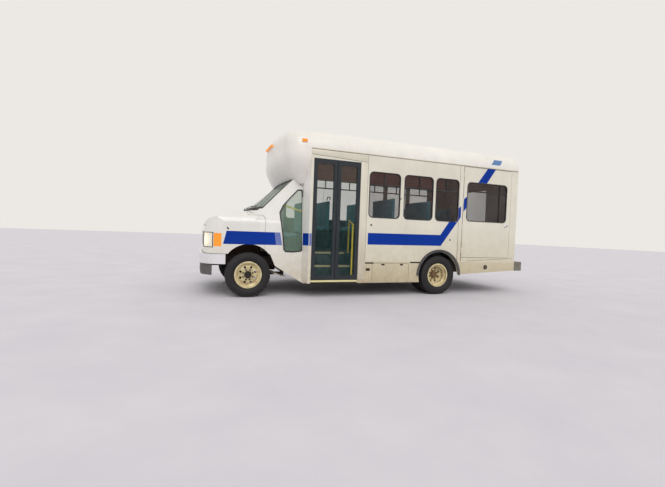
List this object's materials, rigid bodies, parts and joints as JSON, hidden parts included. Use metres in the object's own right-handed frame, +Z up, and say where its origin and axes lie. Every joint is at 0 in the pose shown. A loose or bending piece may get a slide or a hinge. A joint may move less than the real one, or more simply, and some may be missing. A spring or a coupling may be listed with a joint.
{
  "type": "minibus",
  "caption": "Cutaway-chassis minibus with a van front end, overhanging roof cap, twin-leaf glass entry door, side lift door, skirt locker and twin rear wheels; steering, doors and hood move.",
  "frame": {"origin": "on the ground at mid-length and mid-width", "axes": "+X forward, +Y to the vehicle's left, the side of the entry door, +Z up"},
  "size_m": [6.2748, 2.414, 2.8808],
  "materials": {
    "body_white": "semi-gloss paint, dusty",
    "roof_white": "moulded roof, satin",
    "cab_white": "gloss paint",
    "skirt_cream": "dirty semi-gloss paint",
    "door_black": "satin black",
    "tinted_glass": "grey tinted glass",
    "clear_glass": "clear greenish glass",
    "chrome_trim": "polished, scratched",
    "grey_steel": "worn grey paint",
    "dark_plastic": "moulded, matte",
    "lip_rubber": "moulded rubber",
    "tyre_rubber": "tyre rubber",
    "wheel_cream": "dirty cream paint",
    "lamp_clear": "ribbed clear lens",
    "lamp_amber": "amber lens",
    "lamp_red": "red lens",
    "chassis_black": "chassis paint, dusty",
    "iron": "raw casting",
    "floor_grey": "ribbed floor covering",
    "step_steel": "checker plate",
    "seat_blue": "woven cover",
    "seat_frame": "powder coat",
    "rail_yellow": "yellow powder coat",
    "cab_grey": "grained grey plastic"
  },
  "bodies": {
    "root": {"left_wall": "body_white", "right_wall": "body_white", "rear_wall": "body_white", "roof": "roof_white", "side_glass": "tinted_glass", "skirts": "skirt_cream", "locker_box": "chassis_black", "arch_lips": "lip_rubber", "floor": "floor_grey", "entry_steps": "step_steel", "chassis_frame": "chassis_black", "engine": "iron", "front_axle": "chassis_black", "rear_axle": "chassis_black", "fuel_tank": "chassis_black", "exhaust": "iron", "cab_glass": "clear_glass", "cab_shell": "cab_white", "front_fenders": "cab_white", "head_lamps": "lamp_clear", "amber_lamps": "lamp_amber", "grille": "dark_plastic", "front_bumper": "chrome_trim", "front_valance": "dark_plastic", "rear_bumper": "grey_steel", "roof_cap": "roof_white", "front_corners": "cab_white", "cab_floor": "floor_grey", "dashboard": "cab_grey", "steering_wheel": "dark_plastic", "seat_cushions": "seat_blue", "seat_frames": "seat_frame", "grab_rails": "rail_yellow", "tail_lamps": "lamp_red"},
    "knuckle_left": {"knuckle_left": "iron"},
    "knuckle_right": {"knuckle_right": "iron"},
    "front_wheel_left": {"front_tyre_left": "tyre_rubber", "front_rim_left": "wheel_cream"},
    "front_wheel_right": {"front_tyre_right": "tyre_rubber", "front_rim_right": "wheel_cream"},
    "rear_wheels_left": {"rear_tyres_left": "tyre_rubber", "rear_rims_left": "wheel_cream"},
    "rear_wheels_right": {"rear_tyres_right": "tyre_rubber", "rear_rims_right": "wheel_cream"},
    "entry_leaf_front": {"entry_door_front": "door_black", "entry_glass_front": "clear_glass"},
    "entry_leaf_rear": {"entry_door_rear": "door_black", "entry_glass_rear": "clear_glass"},
    "lift_door_leaf": {"lift_door": "body_white", "lift_door_glass": "tinted_glass"},
    "rear_door_leaf": {"rear_door": "body_white", "rear_door_glass": "tinted_glass"},
    "driver_door_leaf": {"driver_door": "cab_white", "driver_door_glass": "clear_glass", "mirror": "dark_plastic"},
    "hood_lid": {"hood": "cab_white"},
    "locker_lid": {"locker_door": "skirt_cream"}
  },
  "joints": [
    {"name": "steer_left", "type": "hinge", "parent": "root", "child": "knuckle_left", "pos_m": [2.3855, 0.79, 0.365], "axis": [0, 0, 1], "range_deg": [-30, 30]},
    {"name": "steer_right", "type": "hinge", "parent": "root", "child": "knuckle_right", "pos_m": [2.3855, -0.79, 0.365], "axis": [0, 0, 1], "range_deg": [-30, 30]},
    {"name": "front_wheel_left_spin", "type": "hinge", "parent": "knuckle_left", "child": "front_wheel_left", "pos_m": [2.3855, 0.897, 0.365], "axis": [0, 1, 0], "continuous": true},
    {"name": "front_wheel_right_spin", "type": "hinge", "parent": "knuckle_right", "child": "front_wheel_right", "pos_m": [2.3855, -0.897, 0.365], "axis": [0, 1, 0], "continuous": true},
    {"name": "rear_wheels_left_spin", "type": "hinge", "parent": "root", "child": "rear_wheels_left", "pos_m": [-1.1195, 0.946, 0.365], "axis": [0, 1, 0], "continuous": true},
    {"name": "rear_wheels_right_spin", "type": "hinge", "parent": "root", "child": "rear_wheels_right", "pos_m": [-1.1195, -0.946, 0.365], "axis": [0, 1, 0], "continuous": true},
    {"name": "entry_front_swing", "type": "hinge", "parent": "root", "child": "entry_leaf_front", "pos_m": [1.3925, 1.193, 1.307], "axis": [0, 0, -1], "range_deg": [0, 90]},
    {"name": "entry_rear_swing", "type": "hinge", "parent": "root", "child": "entry_leaf_rear", "pos_m": [0.5565, 1.193, 1.307], "axis": [0, 0, 1], "range_deg": [0, 90]},
    {"name": "lift_door_swing", "type": "hinge", "parent": "root", "child": "lift_door_leaf", "pos_m": [-1.6155, 1.195, 1.581], "axis": [0, 0, -1], "range_deg": [0, 110]},
    {"name": "rear_door_swing", "type": "hinge", "parent": "root", "child": "rear_door_leaf", "pos_m": [-2.9445, -0.45, 1.521], "axis": [0, 0, 1], "range_deg": [0, 100]},
    {"name": "driver_door_swing", "type": "hinge", "parent": "root", "child": "driver_door_leaf", "pos_m": [2.0825, -1.008, 0.95], "axis": [0, 0, 1], "range_deg": [0, 65]},
    {"name": "hood_lift", "type": "hinge", "parent": "root", "child": "hood_lid", "pos_m": [2.4055, 0, 1.415], "axis": [0, -1, 0], "range_deg": [0, 50]},
    {"name": "locker_lift", "type": "hinge", "parent": "root", "child": "locker_lid", "pos_m": [-0.0945, 1.195, 0.585], "axis": [1, 0, 0], "range_deg": [0, 85]}
  ],
  "couplings": [
    {"joint": "steer_right", "follows": "steer_left", "ratio": 1}
  ]
}
